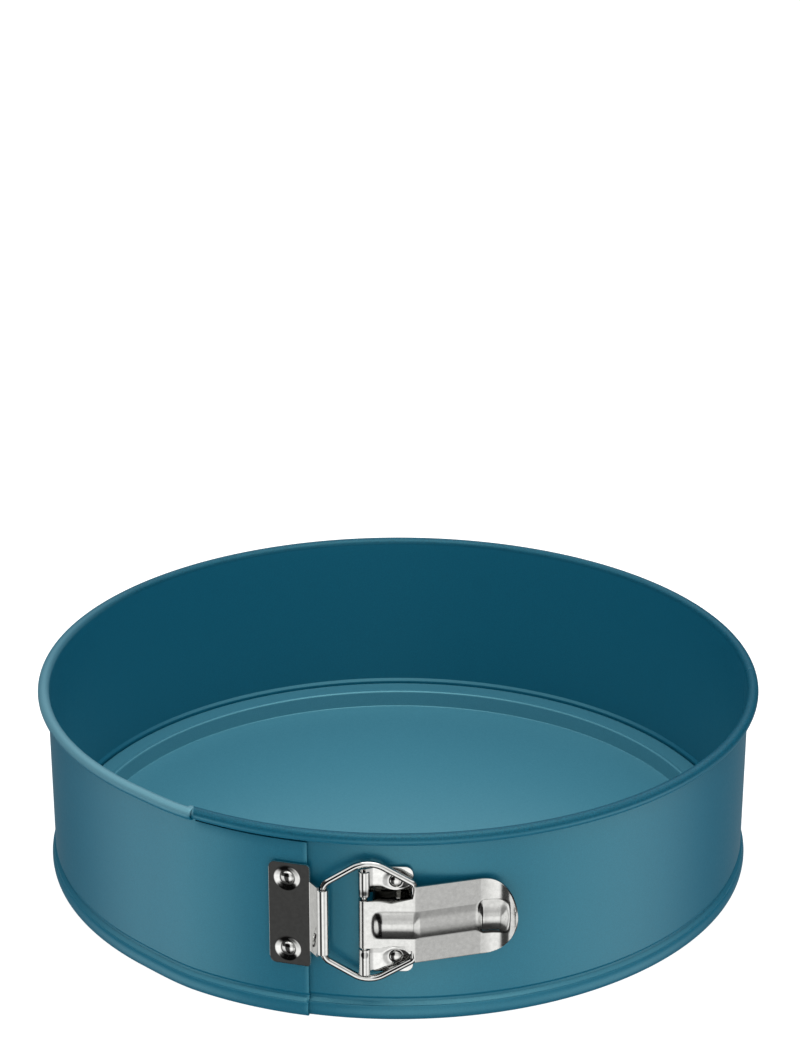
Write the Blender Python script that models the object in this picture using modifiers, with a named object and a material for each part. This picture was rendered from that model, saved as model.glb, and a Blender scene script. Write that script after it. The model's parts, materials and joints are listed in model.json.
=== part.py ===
"""A springform cake pan: a side band that opens, a loose base, and an over-centre lever latch.

Metres, +Z up. The pan's axis is the Z axis and it stands on z = 0. The latch is at the front, -Y.
An angle on the band is measured from -Y towards +X, so that 0 is the middle of the front.
"""

import math

import bmesh
import bpy
from mathutils import Matrix, Vector

# ---------------------------------------------------------------- driving dimensions
HEIGHT = 0.0718                 # from the table to the top of the rolled rim
INNER_RADIUS = 0.130            # inside of the wall, just under the rim
BAND_SHEET = 0.0006             # steel of the band and the base
WALL_TAPER = 0.0004             # how much narrower the wall is above the groove than under the rim
RIM_CURL = 0.0018               # radius of the rolled rim's sheet
GROOVE_TOP = 0.0086             # the groove pressed into the wall round the base
GROOVE_BOTTOM = 0.0052
GROOVE_DEPTH = 0.0008
FOOT_FLARE = 0.0014             # how far the rolled foot stands outside the wall
FOOT_ROLL = 0.0012              # the foot's roll is this deep, from its outside to its edges
HEM_RADIUS = 0.1276             # the foot's hem turns in to here, under the base's skirt

BASE_RADIUS = 0.1285            # outside of the base's skirt, which passes the groove
BASE_LEVEL = 0.0068             # middle of the sheet of the ring that the skirt hangs from
BASE_STEP_TOP = 0.1199          # the ring's inner edge, where it steps down to the floor
BASE_STEP_FOOT = 0.1192
BASE_SKIRT_END = 0.0011

LAP_OFFSET = 0.0013             # how far the outer layer of the overlap stands outside the inner
LAP_START = math.radians(-31.6)     # the left end's rim stops here and the right end's begins
LAP_END = math.radians(-13.4)       # edge of the left end's tab
JOGGLE = math.radians(12.0)         # the left end steps outward over this angle
RIM_CURL_START = -115.0         # where the rim's curl ends under itself, in degrees
BACK_GAP = math.radians(0.08)       # slit at the back where the band is parted into two halves
TAB_TOP = HEIGHT - 0.0050           # the tab ends just under the rolled rim
TAB_HEM = 0.65                      # and its foot ends this far into the roll
FLEX_OUT = 0.0050               # the flex axis lies this far outside the wall, at the back
ROUND_STEPS = 72                # facets in a full turn of the band and the base

PLATE_SHEET = 0.0007            # steel of the latch's plates and lever
PLATE_RISE = 0.0007             # underside of a bracket's plate above the band
WIRE_RADIUS = 0.0012
PIN_RADIUS = 0.0010
PLAY = 0.0003                   # clearance round the pin and the bail
LATCH_HEIGHT = 0.0394           # middle of the latch above the table
NECK_STEP = 0.00015             # a bracket's curled neck leaves its plate this much higher
DISH_RADIUS = 0.0050            # round dish pressed into a bracket for each rivet
DISH_FLOOR = 0.0034
DISH_SEAT = 0.0003              # the dish's back comes this close to the band

CATCH_ANGLE = math.radians(-16.0)
CATCH_HALF_WIDTH = 0.0072
CATCH_HALF_HEIGHT = 0.0193
CATCH_CORNER = 0.0022
CATCH_NECK_LAP = 0.0025         # the neck's strip runs on this far inside the plate
CATCH_BARREL_HALF = 0.0122      # half the length of the barrel that the bail turns in
CATCH_RIVET_X = -0.0007
CATCH_RIVET_Z = 0.0135
CATCH_NECK_RISE = math.radians(131.0)   # the neck meets the barrel here, and wraps round it
CATCH_NECK_END = math.radians(-165.0)
BAIL_ANGLE = math.radians(-10.8)    # where the bail's axis is round the band
BAIL_LEVEL = 0.0049             # and how far outside the wall

HINGE_ANGLE = math.radians(-1.0)
HINGE_HALF_WIDTH = 0.0073
HINGE_HALF_HEIGHT = 0.0199
HINGE_CORNER = 0.0018
HINGE_PLATE_START = 0.0026      # the plate begins this far from the pin
HINGE_NECK_LAP = (0.0030, 0.0012)   # the knuckles' strips lie on the plate between these
HINGE_RIVET_Z = 0.0144
HINGE_RIVET_X = 0.0015
HINGE_NOTCH_HALF = 0.0100       # the plate is cut away behind the lever's knuckle
KNUCKLE_END = 0.0195
PIN_X = -0.0090                 # the hinge pin, in the hinge bracket's own frame
PIN_LEVEL = 0.0036
PIN_RECESS = 0.0006             # the pin ends this far inside the knuckles
PIN_EDGE = 0.0002

LEVER_NECK_HALF = 0.0097
LEVER_WAIST_HALF = 0.0081       # the neck narrows to this before the lever's ears
LEVER_EAR = 0.0136              # the ears begin here and are square to the lever at the crease
LEVER_WIDE_HALF = 0.0143
LEVER_CREASE = 0.0168           # from the pin to the first crease, along the lever
LEVER_BEND = 0.0388             # to the second crease, where the finger tab curls out
LEVER_TIP = 0.0513
LEVER_TOP = 0.0014              # middle of the lever's sheet above the pin, out to the first crease
LEVER_NECK_STATIONS = (0.002, 0.004, 0.006, 0.009, 0.0115, 0.0136, 0.0148, 0.0157, 0.0163, 0.01665)
LEVER_SLOPE = math.radians(16.5)    # the wide part leans in towards the wall
LEVER_CURL_OUT = math.radians(42.0)  # and the finger tab curls out to this slope
LEVER_RIB_HALF = 0.0047
LEVER_RIB_HEIGHT = 0.0015
LEVER_RIB_START = (0.0030, 0.0060)  # the rib rises over this length of the lever
LEVER_RIB_END = (0.0075, 0.0035)    # and falls between these distances from the tip
LEVER_TAB_POWER = 2.4           # shape of the finger tab's outline; 2 is an ellipse

BAIL_REACH = 0.0168             # from the pin to the bail's far side, along the lever
BAIL_DROP = -0.0007             # and how far that side is outside the pin's level
BAIL_SIDE_HALF = 0.0143         # half the bail's height at its far side
BAIL_CORNER_HALF = 0.0139       # and where it leaves the barrel
BAIL_APEX_HALF = 0.0235
BAIL_APEX_X = -0.0077
BAIL_APEX_BEND = 0.0098
BAIL_CORNER_BEND = 0.0046
BAIL_SIDE_BEND = 0.0024
HOOK_Z = 0.0066                 # the two hooks under the lever that draw the bail
HOOK_SLOT = (0.0120, 0.0193)    # the hook's mouth, measured along the lever from the pin
HOOK_WALL = 0.0014
HOOK_SHEET = 0.0010
HOOK_END = -0.0018              # how far down a hook reaches, from the pin's level

RIVET_SHANK = 0.0012
RIVET_HOLE = 0.0015
RIVET_HEAD = 0.0024
RIVET_DOME = 0.0010
RIVET_TAIL = 0.00022
RIVET_TAIL_GAP = 0.00028        # clears the wall's slight taper over the height of a bracket

MID_RADIUS = INNER_RADIUS + BAND_SHEET / 2
WALL_TOP = HEIGHT - RIM_CURL - BAND_SHEET / 2


def wall_radius(z):
    """Radius of the middle of the wall's sheet at a height between the groove and the rim."""
    return MID_RADIUS - WALL_TAPER * (WALL_TOP - z) / (WALL_TOP - GROOVE_TOP)


OUTER_RADIUS = wall_radius(LATCH_HEIGHT) + BAND_SHEET / 2

TEAL = ((0.035, 0.19, 0.26, 1.0), 0.38, 0.55)
TEAL_BASE = ((0.045, 0.21, 0.27, 1.0), 0.42, 0.5)
NICKEL = ((0.62, 0.61, 0.58, 1.0), 0.18, 1.0)
NICKEL_SATIN = ((0.58, 0.57, 0.54, 1.0), 0.28, 1.0)


# ---------------------------------------------------------------- scene helpers
def clear_scene():
    for obj in list(bpy.data.objects):
        bpy.data.objects.remove(obj, do_unlink=True)


def new_collection(name):
    collection = bpy.data.collections.new(name)
    bpy.context.scene.collection.children.link(collection)
    return collection


def material(name, look):
    colour, roughness, metallic = look
    mat = bpy.data.materials.new(name)
    mat.use_nodes = True
    shader = mat.node_tree.nodes["Principled BSDF"]
    shader.inputs["Base Color"].default_value = colour
    shader.inputs["Roughness"].default_value = roughness
    shader.inputs["Metallic"].default_value = metallic
    return mat


def link(obj, collection, parent=None, mat=None):
    collection.objects.link(obj)
    obj.parent = parent
    if mat is not None:
        obj.data.materials.append(mat)
    return obj


def mesh_object(name, bm):
    mesh = bpy.data.meshes.new(name)
    bm.to_mesh(mesh)
    bm.free()
    return bpy.data.objects.new(name, mesh)


def smooth(obj, degrees=35.0):
    obj.data.shade_smooth()
    obj.data.set_sharp_from_angle(angle=math.radians(degrees))


def as_tool(obj):
    """Hide a cutter or an added lump, which belongs to the object that it shapes."""
    obj.hide_render = True
    obj.display_type = "WIRE"


def boolean(obj, tool, operation):
    as_tool(tool)
    modifier = obj.modifiers.new(tool.name, "BOOLEAN")
    modifier.operation = operation
    modifier.solver = "EXACT"
    modifier.object = tool


def solidify(obj, thickness):
    modifier = obj.modifiers.new("Sheet", "SOLIDIFY")
    modifier.thickness = thickness
    modifier.offset = 0.0
    modifier.use_even_offset = True


def frame_on_band(name, angle, radius, collection):
    """An empty on the band: +X runs along the wall, -Y points out of it, +Z up."""
    empty = bpy.data.objects.new(name, None)
    collection.objects.link(empty)
    empty.location = (radius * math.sin(angle), -radius * math.cos(angle), LATCH_HEIGHT)
    empty.rotation_euler = (0.0, 0.0, angle)
    return empty


def smoothstep(value, start, end):
    t = min(max((value - start) / (end - start), 0.0), 1.0)
    return t * t * (3.0 - 2.0 * t)


def arc(centre, radius, first, last, steps):
    """Points round centre from one angle to another, in degrees, both ends included."""
    turns = [math.radians(first + (last - first) * n / steps) for n in range(steps + 1)]
    return [(centre[0] + radius * math.cos(a), centre[1] + radius * math.sin(a)) for a in turns]


# ---------------------------------------------------------------- side band
def band_profile(with_tab_line=False):
    """The middle of the band's sheet, (radius, z), from the end of the rim's curl to the hem."""
    curl = arc((MID_RADIUS + RIM_CURL, WALL_TOP), RIM_CURL, RIM_CURL_START, 180.0, 8)
    low = wall_radius(GROOVE_TOP)
    if with_tab_line:
        curl.append((wall_radius(TAB_TOP), TAB_TOP))
    middle = (GROOVE_TOP + GROOVE_BOTTOM) / 2
    groove = [
        (low, GROOVE_TOP),
        (low - GROOVE_DEPTH * 0.25, GROOVE_TOP - 0.0005),
        (low - GROOVE_DEPTH, middle + 0.0004),
        (low - GROOVE_DEPTH, middle - 0.0005),
    ]
    centre = low + FOOT_FLARE - FOOT_ROLL
    level = (GROOVE_BOTTOM + BAND_SHEET / 2) / 2
    roll = arc((0.0, 0.0), 1.0, 60.0, -60.0, 4)
    foot = [(centre + FOOT_ROLL * x, level * (1.0 + z)) for x, z in roll]
    hem = [(centre, BAND_SHEET / 2), (HEM_RADIUS, BAND_SHEET / 2)]
    return curl + groove + foot + hem


def sweep(points, start, end):
    """Turn a profile about Z between two angles on the band, as an open surface."""
    steps = max(1, round(ROUND_STEPS * (end - start) / (2.0 * math.pi)))
    bm = bmesh.new()
    verts = [bm.verts.new((r * math.sin(start), -r * math.cos(start), z)) for r, z in points]
    edges = [bm.edges.new(pair) for pair in zip(verts, verts[1:])]
    bmesh.ops.spin(
        bm,
        geom=verts + edges,
        axis=(0.0, 0.0, 1.0),
        cent=(0.0, 0.0, 0.0),
        angle=end - start,
        steps=steps,
        use_merge=False,
        use_duplicate=False,
    )
    return bm


def angle_on_band(co):
    return math.atan2(co.x, -co.y)


def lap_shift(angle):
    """How far the left end stands out at this angle: 0 before the joggle, full in the overlap."""
    return LAP_OFFSET * smoothstep(angle, LAP_START - JOGGLE, LAP_START)


def rivet_holes(obj, name, angle, half_height, shift_x, collection):
    """Drill the band for a bracket's two rivets."""
    for end, side in (("upper", 1.0), ("lower", -1.0)):
        bm = bmesh.new()
        bmesh.ops.create_cone(
            bm, cap_ends=True, segments=16, radius1=RIVET_HOLE, radius2=RIVET_HOLE, depth=0.012
        )
        hole = mesh_object(name + "_hole_" + end, bm)
        link(hole, collection)
        reach = OUTER_RADIUS * math.cos(angle)
        hole.location = (
            OUTER_RADIUS * math.sin(angle) + shift_x * math.cos(angle),
            -reach + shift_x * math.sin(angle),
            LATCH_HEIGHT + side * half_height,
        )
        hole.rotation_euler = (math.radians(90.0), 0.0, angle)
        boolean(obj, hole, "DIFFERENCE")


def make_band_right(parts, tools, mat):
    """The right end runs under the left end's tab, with its own rim the whole way."""
    bm = sweep(band_profile(), LAP_START + BACK_GAP, math.pi - BACK_GAP)
    obj = mesh_object("side_band_right", bm)
    link(obj, parts, None, mat)
    smooth(obj)
    solidify(obj, BAND_SHEET)
    rivet_holes(obj, "hinge", HINGE_ANGLE, HINGE_RIVET_Z, HINGE_RIVET_X, tools)
    return obj


def make_band_left(parts, tools, parent, mat):
    """The left end has a full rim up to the overlap, and there it goes on as a plain tab."""
    profile = band_profile(with_tab_line=True)
    bm = sweep(profile, -math.pi + BACK_GAP, LAP_START)
    tab_mesh = bpy.data.meshes.new("tab")
    tab = sweep(profile, LAP_START, LAP_END)
    tab.to_mesh(tab_mesh)
    tab.free()
    bm.from_mesh(tab_mesh)
    bpy.data.meshes.remove(tab_mesh)
    bmesh.ops.remove_doubles(bm, verts=bm.verts, dist=0.00002)
    hem_start = wall_radius(GROOVE_TOP) + FOOT_FLARE - FOOT_ROLL * TAB_HEM
    trimmed = []
    for face in bm.faces:
        middle = face.calc_center_median()
        if angle_on_band(middle) < LAP_START:
            continue
        in_hem = middle.z < GROOVE_BOTTOM / 2 and middle.to_2d().length < hem_start
        if middle.z > TAB_TOP or in_hem:
            trimmed.append(face)
    bmesh.ops.delete(bm, geom=trimmed, context="FACES")
    for vert in bm.verts:
        radius = vert.co.to_2d().length
        vert.co.xy = vert.co.xy * ((radius + lap_shift(angle_on_band(vert.co))) / radius)
    obj = mesh_object("side_band_left", bm)
    link(obj, parts, None, mat)
    smooth(obj)
    solidify(obj, BAND_SHEET)
    rivet_holes(obj, "catch", CATCH_ANGLE, CATCH_RIVET_Z, CATCH_RIVET_X, tools)
    keep_world(obj, parent)
    return obj


# ---------------------------------------------------------------- base
def make_base(parts, mat):
    """A sunken floor, a step up to a flat ring, and a skirt that stands inside the foot."""
    skirt = BASE_RADIUS - BAND_SHEET / 2
    points = [
        (skirt, BASE_SKIRT_END),
        (skirt, BASE_LEVEL - 0.0006),
        (skirt - 0.0006, BASE_LEVEL),
        (BASE_STEP_TOP + 0.0006, BASE_LEVEL),
        (BASE_STEP_TOP, BASE_LEVEL - 0.0005),
        (BASE_STEP_FOOT, BAND_SHEET / 2 + 0.0006),
        (BASE_STEP_FOOT - 0.0006, BAND_SHEET / 2),
        (0.0, BAND_SHEET / 2),
    ]
    bm = bmesh.new()
    verts = [bm.verts.new((r, 0.0, z)) for r, z in points]
    for pair in zip(verts, verts[1:]):
        bm.edges.new(pair)
    obj = mesh_object("base_plate", bm)
    link(obj, parts, None, mat)
    screw = obj.modifiers.new("Turn", "SCREW")
    screw.steps = screw.render_steps = ROUND_STEPS
    screw.use_merge_vertices = True
    screw.merge_threshold = 0.00005
    screw.use_smooth_shade = True
    solidify(obj, BAND_SHEET)
    return obj


# ---------------------------------------------------------------- bent sheet parts of the latch
def bent_sheet(name, points, half_width, raised=None, across=2):
    """A strip of sheet that follows a path of (x, level) points and is as wide as half_width(x).

    half_width gets a point's x, and raised, where given, adds a level for a point's x and its
    place across the strip.
    """
    bm = bmesh.new()
    rows = []
    for x, level in points:
        half = half_width(x)
        row = []
        for n in range(across):
            z = half * (2.0 * n / (across - 1) - 1.0)
            lift = raised(x, z) if raised else 0.0
            row.append(bm.verts.new((x, -(level + lift), z)))
        rows.append(row)
    for row, following in zip(rows, rows[1:]):
        for n in range(across - 1):
            bm.faces.new((row[n], row[n + 1], following[n + 1], following[n]))
    obj = mesh_object(name, bm)
    solidify(obj, PLATE_SHEET)
    return obj


def rounded_rectangle(x0, x1, z0, z1, radius, steps=4):
    corners = [
        ((x1 - radius, z1 - radius), 0.0),
        ((x0 + radius, z1 - radius), 90.0),
        ((x0 + radius, z0 + radius), 180.0),
        ((x1 - radius, z0 + radius), 270.0),
    ]
    return [p for centre, first in corners for p in arc(centre, radius, first, first + 90.0, steps)]


def outline_solid(name, outline, thickness, place):
    """A flat outline of (x, y) points, thickened about its own plane and moved by a matrix."""
    curve = bpy.data.curves.new(name, "CURVE")
    curve.dimensions = "2D"
    curve.fill_mode = "BOTH"
    curve.extrude = thickness / 2
    spline = curve.splines.new("POLY")
    spline.points.add(len(outline) - 1)
    for point, (x, z) in zip(spline.points, outline):
        point.co = (x, z, 0.0, 1.0)
    spline.use_cyclic_u = True
    drawn = bpy.data.objects.new(name, curve)
    bpy.context.scene.collection.objects.link(drawn)
    mesh = bpy.data.meshes.new_from_object(drawn.evaluated_get(bpy.context.evaluated_depsgraph_get()))
    bpy.data.objects.remove(drawn)
    mesh.transform(place)
    bm = bmesh.new()
    bm.from_mesh(mesh)
    bpy.data.meshes.remove(mesh)
    bmesh.ops.remove_doubles(bm, verts=bm.verts, dist=0.00001)
    return mesh_object(name, bm)


def flat_plate(name, outline, level, thickness):
    """A plate cut to an outline of (x, z) points, with its middle at a level outside the wall."""
    stand = Matrix.Rotation(math.radians(90.0), 4, "X")
    return outline_solid(name, outline, thickness, Matrix.Translation((0.0, -level, 0.0)) @ stand)


def turned(name, points, x, z, steps=20, phase=0.0):
    """A solid turned about a line out of the wall through (x, z), from (radius, level) points."""
    bm = bmesh.new()
    verts = [bm.verts.new((r * math.cos(phase), r * math.sin(phase), level)) for r, level in points]
    for pair in zip(verts, verts[1:]):
        bm.edges.new(pair)
    obj = mesh_object(name, bm)
    screw = obj.modifiers.new("Turn", "SCREW")
    screw.steps = screw.render_steps = steps
    screw.use_merge_vertices = True
    screw.merge_threshold = 0.00005
    screw.use_smooth_shade = True
    obj.location = (x, 0.0, z)
    obj.rotation_euler = (math.radians(90.0), 0.0, 0.0)
    return obj


def dish_plate(plate, x, half_height, tools, parent):
    """Press a round dish into the plate for each rivet, and drill it."""
    top = PLATE_RISE + PLATE_SHEET
    floor = DISH_SEAT + PLATE_SHEET
    rim = DISH_RADIUS - 0.0002
    back_points = [
        (0.0, top - 0.0002), (rim, top - 0.0002), (rim, PLATE_RISE), (DISH_FLOOR, DISH_SEAT), (0.0, DISH_SEAT)
    ]
    cut_points = [
        (0.0, top + 0.001), (DISH_RADIUS + 0.0007, top + 0.001), (DISH_FLOOR, floor),
        (RIVET_HOLE, floor), (RIVET_HOLE, -0.004), (0.0, -0.004),
    ]
    for end, side in (("upper", 1.0), ("lower", -1.0)):
        z = side * half_height
        back = turned(plate.name + "_dish_back_" + end, back_points, x, z)
        cut = turned(plate.name + "_dish_" + end, cut_points, x, z, phase=0.15)
        for tool, operation in ((back, "UNION"), (cut, "DIFFERENCE")):
            link(tool, tools, parent)
            boolean(plate, tool, operation)


def keep_world(obj, parent):
    """Give an object a parent and leave it where it is."""
    obj.parent = parent
    obj.matrix_parent_inverse = parent_matrix(parent).inverted()


def parent_matrix(obj):
    own = Matrix.LocRotScale(obj.location, obj.rotation_euler, obj.scale)
    return parent_matrix(obj.parent) @ obj.matrix_parent_inverse @ own if obj.parent else own


# ---------------------------------------------------------------- catch, at the left end
def bail_axis():
    """Where the bail's axis stands, in the catch's own frame."""
    turn = BAIL_ANGLE - CATCH_ANGLE
    radius = OUTER_RADIUS + BAIL_LEVEL
    return radius * math.sin(turn), radius * math.cos(turn) - OUTER_RADIUS - LAP_OFFSET


def make_catch(parts, tools, frame, mat):
    """A plate with a narrower neck that rises and closes round the bail as a barrel."""
    plate_middle = PLATE_RISE + PLATE_SHEET / 2
    outline = rounded_rectangle(
        -CATCH_HALF_WIDTH, CATCH_HALF_WIDTH, -CATCH_HALF_HEIGHT, CATCH_HALF_HEIGHT, CATCH_CORNER
    )
    plate = flat_plate("catch_plate", outline, plate_middle, PLATE_SHEET)
    link(plate, parts, frame, mat)
    x, level = bail_axis()
    curl = WIRE_RADIUS + PLAY + PLATE_SHEET / 2
    neck_level = plate_middle + NECK_STEP
    path = [(CATCH_HALF_WIDTH - CATCH_NECK_LAP, neck_level), (CATCH_HALF_WIDTH, neck_level)]
    path += arc((x, level), curl, math.degrees(CATCH_NECK_RISE), math.degrees(CATCH_NECK_END), 14)
    neck = bent_sheet("catch_neck", path, lambda at: CATCH_BARREL_HALF)
    link(neck, tools, frame)
    boolean(plate, neck, "UNION")
    dish_plate(plate, CATCH_RIVET_X, CATCH_RIVET_Z, tools, frame)
    return plate


# ---------------------------------------------------------------- hinge bracket and lever
def make_hinge_plate(parts, tools, frame, mat):
    """A plate whose left edge is curled outward into two knuckles round the pin."""
    middle = PLATE_RISE + PLATE_SHEET / 2
    left = PIN_X + HINGE_PLATE_START
    outline = rounded_rectangle(
        left, HINGE_HALF_WIDTH, -HINGE_HALF_HEIGHT, HINGE_HALF_HEIGHT, HINGE_CORNER
    )
    plate = flat_plate("hinge_plate", outline, middle, PLATE_SHEET)
    link(plate, parts, frame, mat)
    curl = PIN_RADIUS + PLAY + PLATE_SHEET / 2
    path = [(left + lap, middle + NECK_STEP) for lap in HINGE_NECK_LAP]
    path += arc((PIN_X, PIN_LEVEL), curl, 285.0, 20.0, 14)
    half = (KNUCKLE_END - HINGE_NOTCH_HALF) / 2
    for end, side in (("upper", 1.0), ("lower", -1.0)):
        strip = bent_sheet("hinge_knuckle_" + end, path, lambda at: half)
        link(strip, tools, frame)
        strip.location.z = side * (KNUCKLE_END + HINGE_NOTCH_HALF) / 2
        boolean(plate, strip, "UNION")
    dish_plate(plate, HINGE_RIVET_X, HINGE_RIVET_Z, tools, frame)
    return plate


def lever_path():
    """The lever's middle line from the end of its curl round the pin, (x, level) from the pin."""
    curl = PIN_RADIUS + PLAY + PLATE_SHEET / 2
    points = arc((0.0, 0.0), curl, -60.0, -262.0, 12)
    crease = (LEVER_CREASE, LEVER_TOP)
    points += [(x, curl + (LEVER_TOP - curl) * smoothstep(x, 0.0, 0.009)) for x in LEVER_NECK_STATIONS]
    points.append(crease)
    run = LEVER_BEND - LEVER_CREASE
    drop = run * math.tan(LEVER_SLOPE)
    points += [(LEVER_CREASE + run * n / 3, LEVER_TOP - drop * n / 3) for n in (1, 2, 3)]
    radius = (LEVER_TIP - LEVER_BEND) / (math.sin(LEVER_SLOPE) + math.sin(LEVER_CURL_OUT))
    bend = (LEVER_BEND + radius * math.sin(LEVER_SLOPE), LEVER_TOP - drop + radius * math.cos(LEVER_SLOPE))
    first = -90.0 - math.degrees(LEVER_SLOPE)
    points += arc(bend, radius, first, -90.0 + math.degrees(LEVER_CURL_OUT), 10)[1:]
    return points


def lever_half(x):
    """Half the lever's width: a neck with a waist, square ears, and a round finger tab."""
    if x > LEVER_BEND:
        along = (x - LEVER_BEND) / (LEVER_TIP - LEVER_BEND)
        return LEVER_WIDE_HALF * math.sqrt(max(1.0 - along**LEVER_TAB_POWER, 0.02))
    waist = LEVER_NECK_HALF + (LEVER_WAIST_HALF - LEVER_NECK_HALF) * smoothstep(x, 0.004, LEVER_EAR)
    ear = min(max((x - LEVER_EAR) / (LEVER_CREASE - LEVER_EAR), 0.0), 1.0)
    return waist + (LEVER_WIDE_HALF - waist) * (1.0 - math.sqrt(1.0 - ear**2))


def lever_rib(x, z):
    """A rounded rib along the middle of the lever, from the neck to the finger tab."""
    rise = smoothstep(x, *LEVER_RIB_START)
    fall = smoothstep(x, LEVER_TIP - LEVER_RIB_END[0], LEVER_TIP - LEVER_RIB_END[1])
    across = max(1.0 - (z / LEVER_RIB_HALF) ** 2, 0.0)
    return LEVER_RIB_HEIGHT * rise * (1.0 - fall) * across


def hook_outline():
    """An upside-down U, (x, level) from the pin, open towards the wall, that holds the bail.

    Its web lies inside the lever's sheet.
    """
    left, right = HOOK_SLOT
    web = PLATE_SHEET / 5

    def sheet_level(x):
        return LEVER_TOP - max(x - LEVER_CREASE, 0.0) * math.tan(LEVER_SLOPE)

    outer, inner = left - HOOK_WALL, right + HOOK_WALL
    return [
        (outer, LEVER_TOP + web), (outer, HOOK_END), (left, HOOK_END), (left, LEVER_TOP - web),
        (LEVER_CREASE, LEVER_TOP - web), (right, sheet_level(right) - web), (right, HOOK_END),
        (inner, HOOK_END), (inner, sheet_level(inner) + web), (LEVER_CREASE, LEVER_TOP + web),
    ]


def make_lever(parts, tools, pivot, mat):
    lever = bent_sheet("lever", lever_path(), lever_half, lever_rib, across=9)
    link(lever, parts, pivot, mat)
    smooth(lever)
    outward_to_front = Matrix.Rotation(math.radians(180.0), 4, "X")
    for end, side in (("upper", 1.0), ("lower", -1.0)):
        place = Matrix.Translation((0.0, 0.0, side * HOOK_Z)) @ outward_to_front
        hook = outline_solid("lever_hook_" + end, hook_outline(), HOOK_SHEET, place)
        link(hook, tools, pivot)
        boolean(lever, hook, "UNION")
    return lever


def make_hinge_pin(parts, frame, mat):
    """A plain pin that ends a little inside the knuckles."""
    end = KNUCKLE_END - PIN_RECESS
    points = [
        (0.0, end), (PIN_RADIUS - PIN_EDGE, end), (PIN_RADIUS, end - PIN_EDGE),
        (PIN_RADIUS, PIN_EDGE - end), (PIN_RADIUS - PIN_EDGE, -end), (0.0, -end),
    ]
    pin = turned("hinge_pin", points, 0.0, 0.0, steps=16)
    link(pin, parts, frame, mat)
    pin.rotation_euler = (0.0, 0.0, 0.0)
    pin.location = (PIN_X, -PIN_LEVEL, 0.0)
    return pin


def rounded_loop(corners, steps=4):
    """A closed outline through (x, z) corners, each rounded to its own radius."""
    points = []
    count = len(corners)
    for n, (x, z, radius) in enumerate(corners):
        here = Vector((x, z))
        before = (Vector(corners[n - 1][:2]) - here).normalized()
        after = (Vector(corners[(n + 1) % count][:2]) - here).normalized()
        half = before.angle(after) / 2
        reach = radius / math.tan(half)
        start, end = here + before * reach, here + after * reach
        centre = here + (before + after).normalized() * (radius / math.sin(half))
        for step in range(steps + 1):
            t = step / steps
            spoke = (start - centre).lerp(end - centre, t)
            points.append(centre + spoke.normalized() * radius)
    return points


def make_bail(parts, pivot, reach, mat):
    """A closed wire loop: one side turns in the catch's barrel and the lever draws the other.

    reach holds how far from the barrel's axis the bail's two corners and its far side are.
    """
    apex, far = reach
    upper = [
        (0.0, BAIL_CORNER_HALF, BAIL_CORNER_BEND),
        (apex, BAIL_APEX_HALF, BAIL_APEX_BEND),
        (far, BAIL_SIDE_HALF, BAIL_SIDE_BEND),
    ]
    corners = upper + [(x, -z, bend) for x, z, bend in reversed(upper)]
    curve = bpy.data.curves.new("bail", "CURVE")
    curve.dimensions = "3D"
    curve.bevel_depth = WIRE_RADIUS
    curve.bevel_resolution = 2
    spline = curve.splines.new("POLY")
    points = rounded_loop(corners)
    spline.points.add(len(points) - 1)
    for point, (x, z) in zip(spline.points, points):
        point.co = (x, 0.0, z, 1.0)
    spline.use_cyclic_u = True
    bail = bpy.data.objects.new("bail", curve)
    return link(bail, parts, pivot, mat)


def make_rivet(name, x, z, parts, frame, mat):
    """A domed head in the dish, a shank through plate and band, and a flat tail inside."""
    seat = DISH_SEAT + PLATE_SHEET + 0.0001
    tail = -BAND_SHEET - RIVET_TAIL_GAP
    points = [(0.0, seat + RIVET_DOME)]
    points += [(RIVET_HEAD * math.sin(math.radians(a)), seat + RIVET_DOME * math.cos(math.radians(a)))
               for a in (25.0, 50.0, 75.0)]
    points += [(RIVET_HEAD, seat), (RIVET_SHANK, seat), (RIVET_SHANK, tail),
               (RIVET_HEAD, tail), (RIVET_HEAD, tail - RIVET_TAIL), (0.0, tail - RIVET_TAIL)]
    rivet = turned(name, points, x, z, steps=16)
    return link(rivet, parts, frame, mat)


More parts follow.
